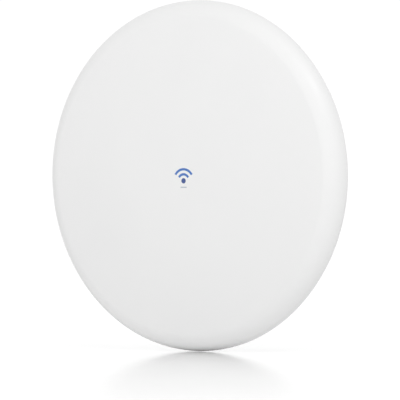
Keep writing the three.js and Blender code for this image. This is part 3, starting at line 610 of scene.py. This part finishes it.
def middle(node):
    start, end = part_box(node)
    return (start.x + end.x) / 2 / MM, (start.z + end.z) / 2 / MM


COVER_SCREWS = [middle(f"cover_screw_{i}") for i in (1, 2, 3, 4)]
STUD_SCREWS = [middle(f"stud_screw_{i}") for i in (1, 2, 3)]
PIPES = [middle(f"light_pipe_{i}") for i in (1, 2, 3)]


# ---------- Small parts ----------

def machine_screw(node, head, height, shank):
    """A pan-headed screw along Y with a cross recess, where the CAD node stands."""
    x, z = middle(node)
    top, tip = high(node).y, low(node).y
    profile = [(0, tip), (shank * 0.6, tip), (shank, tip + shank)]
    y = tip + shank
    while y + 0.5 < top - height:
        profile += [(shank, y + 0.1), (shank * 0.82, y + 0.25), (shank, y + 0.4)]
        y += 0.5
    profile += [(shank, top - height), (head, top - height)]
    profile += [(head, top - height * 0.45), (head * 0.93, top - height * 0.2), (head * 0.75, top), (0, top)]
    body = turned("screw", profile, 40, (x, z))
    arm, half = head * 0.6, 0.38
    return carved(f"{node}_detail", body, cutters=[
        block((x - arm, top - 0.9, z - half), (x + arm, top + 1, z + half)),
        block((x - half, top - 0.9, z - arm), (x + half, top + 1, z + arm)),
    ], smooth_angle=30)


def light_pipe(node):
    y, top, r = low(node).y, high(node).y, (high(node).x - low(node).x) / 2
    crown = [(r, top - 0.5), (r * 0.92, top - 0.22), (r * 0.6, top - 0.05), (0, top)]
    return turned(f"{node}_detail", [(0, y), (r, y), *crown], 40, middle(node), 50)


def vent():
    x, z = middle("vent_plug")
    start, end = low("vent_plug"), high("vent_plug")
    r = (end.x - start.x) / 2
    top = end.y
    base = HUB_BACK + GAP
    stem = [(0, start.y), (VENT_STEM, start.y), (VENT_STEM, base)]
    head = [(r, base), (r, base + 1.2), (r - 1, top), (0, top)]
    cap = turned("cap", rounded(stem + head, 0.3, 3, closed=False), 64, (x, z))
    slots = [rod(0.55, base + 0.4, top + PAST, x + a, z + b, 16) for a, b in around(8, r, 22.5)]
    grip = block((x - 3, top - 0.6, z - 0.5), (x + 3, top + PAST, z + 0.5))
    return carved("vent_cap", cap, cutters=[*slots, grip], ease=0.12)


def washer():
    x, z = middle("ground_washer")
    r = (high("ground_washer").x - low("ground_washer").x) / 2
    start, end = low("ground_washer").y, high("ground_washer").y
    ring = turned("ring", rounded([(2.3, start), (r, start), (r, end), (2.3, end)], 0.15, 2), 64, (x, z))
    teeth = [rod(0.28, start - 1, end + 1, x + a, z + b, 8) for a, b in around(16, r)]
    return carved("toothed_washer", ring, cutters=teeth, smooth_angle=30)


def plate():
    """The blank plate, with a shallow groove just inside its rim."""
    start, end = low("rating_label"), high("rating_label")

    def sheet(inset, corner, front, back):
        return extruded(box_outline(start.x + inset, start.z + inset, end.x - inset, end.z - inset, corner),
                        front, back)

    rim = carved("sheet", sheet(0, 1, start.y, end.y), cutters=[sheet(0.9, 0.7, end.y - 0.08, end.y + PAST)],
                 smooth_angle=None)
    return carved("plate", rim, [sheet(1.2, 0.6, start.y, end.y)], smooth_angle=30)


def door():
    """The sliding door: panel, edges under the rails, bottom wall with a notch, and finger grooves."""
    start, top = low("port_door"), high("port_door")
    floor = start.z + 2.2
    panel = block((-BAY_HALF + GAP, DOOR_FRONT, start.z), (BAY_HALF - GAP, HUB_BACK, top.z), 0.5)
    edges = block((start.x, DOOR_FRONT, start.z + 6), (top.x, HUB_BACK - 1.8, top.z), 0.3)
    bottom = block((-BAY_HALF + GAP, start.y, start.z), (BAY_HALF - GAP, DOOR_FRONT + 1, floor), 0.3)
    notch = block((-5.5, start.y - PAST, start.z - PAST), (5.5, JACK_AXIS, floor + PAST))
    seat = post(5.5, start.z - PAST, floor + PAST, 0, JACK_AXIS, 64)
    rows = [start.z + 3.4 + 2.4 * i for i in range(3)]
    grooves = [block((-8, HUB_BACK - 0.7, z), (8, HUB_BACK + PAST, z + 1.2), 0.25) for z in rows]
    return carved("cable_door", panel, [edges, bottom], [notch, seat, *grooves], ease=0.15)


def grommet():
    start, end = low("cable_grommet"), high("cable_grommet")
    r = end.x
    ring = post(5.2, start.z, start.z + 2.2, 0, JACK_AXIS, 96, 0.3)
    lip = post(r, end.z - 1.3, end.z, 0, JACK_AXIS, 96, 0.4)
    neck = post(4.7, start.z + 0.5, end.z - 0.5, 0, JACK_AXIS, 96)
    bore = post(3.3, start.z - PAST, end.z + PAST, 0, JACK_AXIS, 64)
    slit = block((-0.25, JACK_AXIS - r - PAST, start.z - PAST), (0.25, JACK_AXIS, end.z + PAST))
    return carved("cable_seal", ring, [neck, lip], [bore, slit], ease=0.1)


def jack():
    """The shielded network jack with its keyed mouth and spring tabs."""
    body = block(JACK_LOW, JACK_HIGH, 0.3)
    mouth = block((-5.9, JACK_AXIS - 4.1, JACK_LOW.z - 1), (5.9, JACK_AXIS + 4.1, JACK_LOW.z + 15))
    latch = block((-3, JACK_AXIS, JACK_LOW.z - 1), (3, JACK_AXIS + 5.5, JACK_LOW.z + 8))
    low_z, high_z = JACK_LOW.z + 2, JACK_LOW.z + 8
    slits = []
    for x in (-JACK_HIGH.x, JACK_HIGH.x):
        for y in (JACK_AXIS - 2.2, JACK_AXIS + 1.9):
            slits.append(block((x - 0.35, y, low_z), (x + 0.35, y + 0.3, high_z)))
    return carved("jack_shell", body, cutters=[mouth, latch, *slits], ease=0.12)


def contacts():
    """Eight sprung contact wires inside the jack's mouth."""
    front, back = JACK_AXIS - 3.6, JACK_AXIS - 3.1
    start, end = JACK_LOW.z + 2.5, JACK_LOW.z + 14.5
    places = [(i - 3.5) * 1.02 for i in range(8)]
    first, *rest = [block((x - 0.22, front, start), (x + 0.22, back, end)) for x in places]
    return carved("jack_contacts", first, rest)


def button():
    """The reset button, with the collar that keeps it inside the housing's wall."""
    start, end = low("reset_button"), high("reset_button")
    x = (start.x + end.x) / 2
    pin = post(BUTTON_RADIUS, start.z, end.z, x, JACK_AXIS, 48, 0.4)
    start_z = BUTTON_COLLAR - sqrt(HUB_INNER ** 2 - end.x ** 2)
    return carved("button", pin, [post(2.9, start_z, start_z + BUTTON_COLLAR, x, JACK_AXIS, 48, 0.2)])


# ---------- Ball joint ----------

def stud():
    """The die-cast stud: round flange, flared neck and ball."""
    neck_turn = degrees(asin(NECK / BALL_RADIUS))
    flare = []
    for angle in range(0, 91, 10):
        t = radians(angle)
        flare.append((NECK + NECK_FLARE * (1 - sin(t)), FLANGE_BACK + NECK_FLARE * (1 - cos(t))))
    body = turned("stud", [
        (0, STUD_BASE), (FLANGE - 0.3, STUD_BASE), (FLANGE, STUD_BASE + 0.3), (FLANGE, FLANGE_BACK - 1.1),
        (FLANGE - 0.15, FLANGE_BACK - 0.6), (FLANGE - 1.1, FLANGE_BACK), *flare,
        *arc(0, BALL, BALL_RADIUS, neck_turn, 180, 30),
    ], 128)
    bores = [rod(HEAD_HOLE, FLANGE_BACK - 1.8, FLANGE_BACK + 1.5, x, z) for x, z in STUD_SCREWS]
    holes = [rod(SHANK_HOLE, STUD_BASE - PAST, FLANGE_BACK + PAST, x, z) for x, z in STUD_SCREWS]
    return carved("stud", body, cutters=bores + holes, ease=0.12)


def collar():
    """The lock collar: rounded ring with twelve grip ribs and a flared opening for the neck."""
    size = high("lock_collar").y
    front = low("lock_collar").y
    outer = BARREL + GAP + 4.5
    seat = arc(0, BALL, BALL_RADIUS + GAP, 57, 78, 8)
    corners = [(outer, size), (outer, front + 5), (outer - 5, front), (seat[0][0] + 2.4, front)]
    shape = rounded(corners, 2.2, 6, closed=False)
    ring = turned("collar", [
        (outer - 0.6, size), (outer, size - 0.6), *shape[1:], *seat, (seat[-1][0], BALL - 2),
        (BARREL + GAP, BALL - 2), (BARREL + GAP, size),
    ], 128)
    ribs = [rod(1.9, front + 6, size - 1, x, z, 32, 1.2) for x, z in around(12, outer - 0.4)]
    return carved("collar", ring, ribs, ease=0.3)


def cup():
    outside = arc(0, BALL, BALL_RADIUS + 2.3, 180, 135, 16)
    inside = arc(0, BALL, BALL_RADIUS + 0.35, 135, 180, 16)
    return turned("cup", outside + inside, 96, smooth_angle=40)


# ---------- Pole mount ----------

def bracket():
    """The toothed vee, the threaded barrel round the ball's socket, the rib and the strap's slot."""
    bottom = POLE_RADIUS / sin(radians(60))
    start, end = low("pole_bracket"), high("pole_bracket")
    tip, half = POLE_RADIUS + 3, end.x

    def face(x):
        return -bottom + abs(x) / sqrt(3)

    side = [(half, face(tip) - 2), (tip, face(tip))]
    for i in range(10, 0, -1):
        side.append((tip * (i - 0.5) / 10, face(tip * (i - 0.5) / 10) - 1))
        if i > 1:
            side.append((tip * (i - 1) / 10, face(tip * (i - 1) / 10)))
    outline = [(half - 4, PLATE_FRONT), (half, PLATE_FRONT + 4), *side, (0, -bottom - 1)]
    outline += [(-x, y) for x, y in reversed(side)] + [(-half, PLATE_FRONT + 4), (-half + 4, PLATE_FRONT)]
    plate_body = extruded(rounded(outline, 0.35, 2), start.z, end.z, "Z", 0.3, 2)
    barrel = rod(BARREL, start.y, PLATE_FRONT + 1, segments=128)
    threads = [turned("thread", [(BARREL + 0.2, y - 0.45), (BARREL + 0.2, y + 0.45), (BARREL - 0.45, y)], 128)
               for y in (start.y + 1.5, start.y + 3.5, start.y + 5.5)]
    rib = block((-2, BALL + 10.6, start.z + 9), (2, PLATE_FRONT + 1, end.z - 9), 0.5)
    gussets = [block((x - 0.9, BALL + 11.4, start.z + 6), (x + 0.9, PLATE_FRONT + 1, end.z - 6), 0.4)
               for x in (-14, 14)]
    socket = turned("socket", arc(0, BALL, SOCKET, 0, 180, 40), 128)
    mouth = rod(SOCKET, start.y - 1, BALL, segments=128)
    near, far = -bottom - 3.6, PLATE_FRONT + 2.6
    z = STRAP_HALF + 0.8
    window = POLE_RADIUS - 5
    return carved("bracket", plate_body, [barrel, rib, *gussets], [
        socket, mouth, *threads,
        block((-half - PAST, far, -z), (half + PAST, near, z)),
        block((window, far, -z), (half + PAST, 0, z)),
        block((-half - PAST, far, -z), (-window, 0, z)),
    ], ease=0.3)


def strap():
    """The steel strap, bent round the pole, with a row of slots that its screw engages."""
    start, end = low("strap_band"), high("strap_band")
    front = -start.y - STRAP_THICKNESS

    def bend(x, y, radius, first, last, step):
        turns = [radians(a) for a in range(first, last + 1, step)]
        return [(x + radius * cos(t), y + radius * sin(t)) for t in turns]

    def loop(inset):
        half, near, corner = STRAP_INNER + inset, front + inset, 4 + inset
        points = bend(0, 0, half, 0, 180, 3)
        points += bend(-half + corner, -near + corner, corner, 180, 270, 10)
        return points + bend(half - corner, -near + corner, corner, 270, 360, 10)

    band = extruded(loop(STRAP_THICKNESS), start.z, end.z, "Z", 0.15, 2)
    hollow = extruded(loop(0), start.z - PAST, end.z + PAST, "Z")
    slots = []
    for angle in range(96, 156, 6):
        slot = block((STRAP_INNER - 1, -0.55, -3.6), (STRAP_INNER + 2, 0.55, 3.6), 0.25)
        slot.data.transform(Matrix.Rotation(radians(angle), 4, "Z") @ Matrix.Rotation(radians(9), 4, "X"))
        slots.append(slot)
    return carved("strap", band, cutters=[hollow, *slots], smooth_angle=30)


def strap_body():
    """The pressed housing that holds the worm screw against the strap."""
    start, end = low("strap_housing"), high("strap_housing")
    z = end.z
    outline = [(end.x, -z), (end.x, z), (end.x - 2, z), (start.x, z / 2), (start.x, -z / 2), (end.x - 2, -z)]
    shell = extruded(rounded(outline, 1.2, 4), start.y, end.y, "Y", 0.25, 2)
    axis = middle("strap_screw")[0]
    bore = rod(4.3, start.y - 1, end.y + 1, axis, 0, 64)
    band = block((start.x - 1, start.y + 2.2, -2.1), (start.x + 1.6, start.y + 3.4, 2.1))
    second = block((start.x - 1, end.y - 3.4, -2.1), (start.x + 1.6, end.y - 2.2, 2.1))
    return carved("strap_clamp", shell, cutters=[bore, band, second], ease=0.12)


def worm():
    """The worm screw: threaded barrel and hexagonal head with a slot."""
    axis = middle("strap_screw")[0]
    start, end = low("strap_screw").y, high("strap_screw").y
    seat = end - 4.5
    profile = [(0, start), (2.6, start)]
    for i in range(9):
        y = start + 1 + i * 1.5
        profile += [(3.2, y), (3.95, y + 0.35), (3.95, y + 0.75), (3.2, y + 1.1)]
    profile += [(3.0, seat - 0.2), (3.0, seat + 0.4), (0, seat + 0.4)]
    body = turned("worm", profile, 64, (axis, 0))
    hexagon = [(axis + 4.6 * sin(radians(60 * k)), 4.6 * cos(radians(60 * k))) for k in range(6)]
    head = extruded(hexagon, seat, end, "Y", 0.35, 3)
    slot = block((axis - 5, end - 1.2, -0.5), (axis + 5, end + 1, 0.5))
    return carved("worm_screw", body, [head], [slot], smooth_angle=30)


# ---------- Inside of the head ----------

def reflector():
    outer = high("reflector").x
    back = high("reflector").y
    front = [(r, back - 0.98 - r ** 2 / (4 * FOCAL_LENGTH)) for r in steps_between(7, outer, 30)]
    rear = [(r, y + 1) for r, y in reversed(front)]
    return turned("dish", front + rear, 256, smooth_angle=35)


def lens():
    start = low("feed_lens").y
    return turned("lens", rounded([(0, start + 3), (12, start), (14, start), (14, start + 3), (9, start + 7),
                                   (6, start + 13), (6, start + 18), (3.3, start + 18), (3.3, start + 25),
                                   (0, start + 28)], 0.8, 4, closed=False), 128, smooth_angle=30)


def splash_plate():
    end = WIDEST - 8.3
    start = end - 2.5
    front = [(0, start), (14.6, start), (15.6, start + 0.4), (16, start + 1.2)]
    return turned("splash_plate", [*front, (16, end), (12, end), (0, end + 3)], 128, smooth_angle=30)


# Each shape with its body, its material slot and the CAD node that it stands for.
PIECES = [
    (radome, "head", "radome", "front_radome"),
    (bowl, "head", "shell", "rear_shell"),
    (housing, "head", "shell", "radio_housing"),
    (cover, "head", "shell", "hub_cover"),
    (vent, "head", "black_plastic", "vent_plug"),
    (washer, "head", "steel", "ground_washer"),
    (plate, "head", "label", "rating_label"),
    (door, "port_door", "shell", "port_door"),
    (grommet, "port_door", "rubber", "cable_grommet"),
    (jack, "head", "can_steel", "ethernet_jack"),
    (button, "reset_button", "grey_plastic", "reset_button"),
    (stud, "head", "ball_metal", "ball_stud"),
    (collar, "lock_collar", "mount_plastic", "lock_collar"),
    (cup, "ball_cup", "black_plastic", "friction_cup"),
    (bracket, "mount", "mount_plastic", "pole_bracket"),
    (strap, "mount", "steel", "strap_band"),
    (strap_body, "mount", "steel", "strap_housing"),
    (worm, "strap_screw", "steel", "strap_screw"),
    (reflector, "head", "reflector_metal", "reflector"),
    (lens, "head", "lens_plastic", "feed_lens"),
    (splash_plate, "head", "reflector_metal", "sub_reflector"),
]


def add_pieces():
    for shape, body, slot, node in PIECES:
        finish_piece(shape(), body, slot, node)
    small = (SCREW_HEAD, SCREW_HEAD_HEIGHT, SCREW_SHANK)
    for i in (1, 2, 3, 4):
        finish_piece(machine_screw(f"cover_screw_{i}", *small), "head", "steel", f"cover_screw_{i}")
    for i in (1, 2, 3):
        finish_piece(machine_screw(f"stud_screw_{i}", *small), "head", "steel", f"stud_screw_{i}")
        finish_piece(light_pipe(f"light_pipe_{i}"), "head", "clear_plastic", f"light_pipe_{i}")
    ground = machine_screw("ground_screw", GROUND_HEAD, 2.6, GROUND_SHANK)
    finish_piece(ground, "head", "steel", "ground_screw")
    pins = finish_piece(contacts(), "head", "feed_metal")
    pins.data.materials.clear()
    pins.data.materials.append(GOLD)


def dress_nodes():
    """Gives each CAD node its slot's material, and eases the edges of those that stay in view."""
    slots = {part["node"]: part["material_slot"] for part in frame["record"]["subparts"]}
    for node_name, node in frame["nodes"].items():
        node.data.materials.clear()
        node.data.materials.append(MATERIALS[slots[node_name]])
        if node.hide_render:
            continue
        easing = node.modifiers.new("easing", "BEVEL")
        easing.width = 0.2 * MM
        easing.segments = 2
        easing.limit_method = "ANGLE"
        easing.angle_limit = radians(50)


# ---------- Camera, floor and lights ----------

AZIMUTH = 34
ELEVATION = 0.6
DISTANCE = 5.0
VIEW_SPAN = 285 * MM  # height of the frame at the dish
TOWARDS = Vector((sin(radians(AZIMUTH)) * cos(radians(ELEVATION)),
                  -cos(radians(AZIMUTH)) * cos(radians(ELEVATION)), sin(radians(ELEVATION))))
AIM = Vector((0.6, WIDEST, -17.4)) * MM
FLOOR = low("front_radome").z * MM
ROOM_SIDES = 0.69
ROOM_ENDS = 1.05
KEY = 11.4
FILL = 3.7
# Strength of the floor's painted light: an emission that brightens the floor away from the dish, with none
# near it
FLOOR_PAINTED_LIGHT = 0.14


def add_camera():
    camera = bpy.data.objects.new("camera", bpy.data.cameras.new("camera"))
    bpy.context.scene.collection.objects.link(camera)
    camera.location = AIM + DISTANCE * TOWARDS
    camera.rotation_euler = (-TOWARDS).to_track_quat("-Z", "Y").to_euler()
    camera.data.lens = camera.data.sensor_width * DISTANCE / VIEW_SPAN
    camera.data.clip_end = 50
    bpy.context.scene.camera = camera


def add_area(name, place, size, power):
    light = bpy.data.objects.new(name, bpy.data.lights.new(name, "AREA"))
    light.data.shape = "DISK"
    light.data.size = size
    light.data.energy = power
    light.location = place
    light.rotation_euler = (AIM - Vector(place)).to_track_quat("-Z", "Y").to_euler()
    bpy.context.scene.collection.objects.link(light)


def add_floor():
    bm = bmesh.new()
    bmesh.ops.create_circle(bm, cap_ends=True, radius=6000, segments=96)
    floor = made("floor", bm, 40)
    floor.location.z = FLOOR - 0.2 * MM
    material, tree, shader, place = node_material("floor")
    cloud = noise(tree, place, 3, 2)
    tree.links.new(blended(tree, cloud, (0.95, 0.95, 0.95), (0.93, 0.93, 0.93)), shader.inputs["Base Color"])
    spread = tree.nodes.new("ShaderNodeVectorMath")
    spread.operation = "LENGTH"
    tree.links.new(place, spread.inputs[0])
    away = spread.outputs["Value"]
    tree.links.new(ranged(tree, away, 0.3, 1.2, 0.1, 0.17), shader.inputs["Roughness"])
    # Painted light: the floor glows, not at all near the dish and more the farther from it
    shader.inputs["Emission Color"].default_value = (1, 1, 1, 1)
    tree.links.new(ranged(tree, away, 0.3, 1.4, 0, FLOOR_PAINTED_LIGHT), shader.inputs["Emission Strength"])
    floor.data.materials.append(material)


def add_light():
    """A white room, dimmer to the sides than in front and behind, and two soft lights."""
    world = bpy.data.worlds.new("studio")
    bpy.context.scene.world = world
    world.use_nodes = True
    tree = world.node_tree
    direction = tree.nodes.new("ShaderNodeTexCoord").outputs["Generated"]
    view = tree.nodes.new("ShaderNodeVectorMath")
    view.operation = "DOT_PRODUCT"
    tree.links.new(direction, view.inputs[0])
    view.inputs[1].default_value = TOWARDS
    level = ranged(tree, maths(tree, "POWER", view.outputs["Value"], 2), 0, 1, ROOM_SIDES, ROOM_ENDS)
    background = tree.nodes["Background"]
    background.inputs["Color"].default_value = (1, 1, 1, 1)
    tree.links.new(level, background.inputs["Strength"])
    add_area("key", (1.6, -1.0, 2.0), 1.2, KEY)
    add_area("fill", (0.2, -2.2, 0.5), 1.0, FILL)
    bpy.context.scene.view_settings.view_transform = "Standard"


# ---------- The scene ----------

add_pieces()
dress_nodes()
add_camera()
add_floor()
add_light()
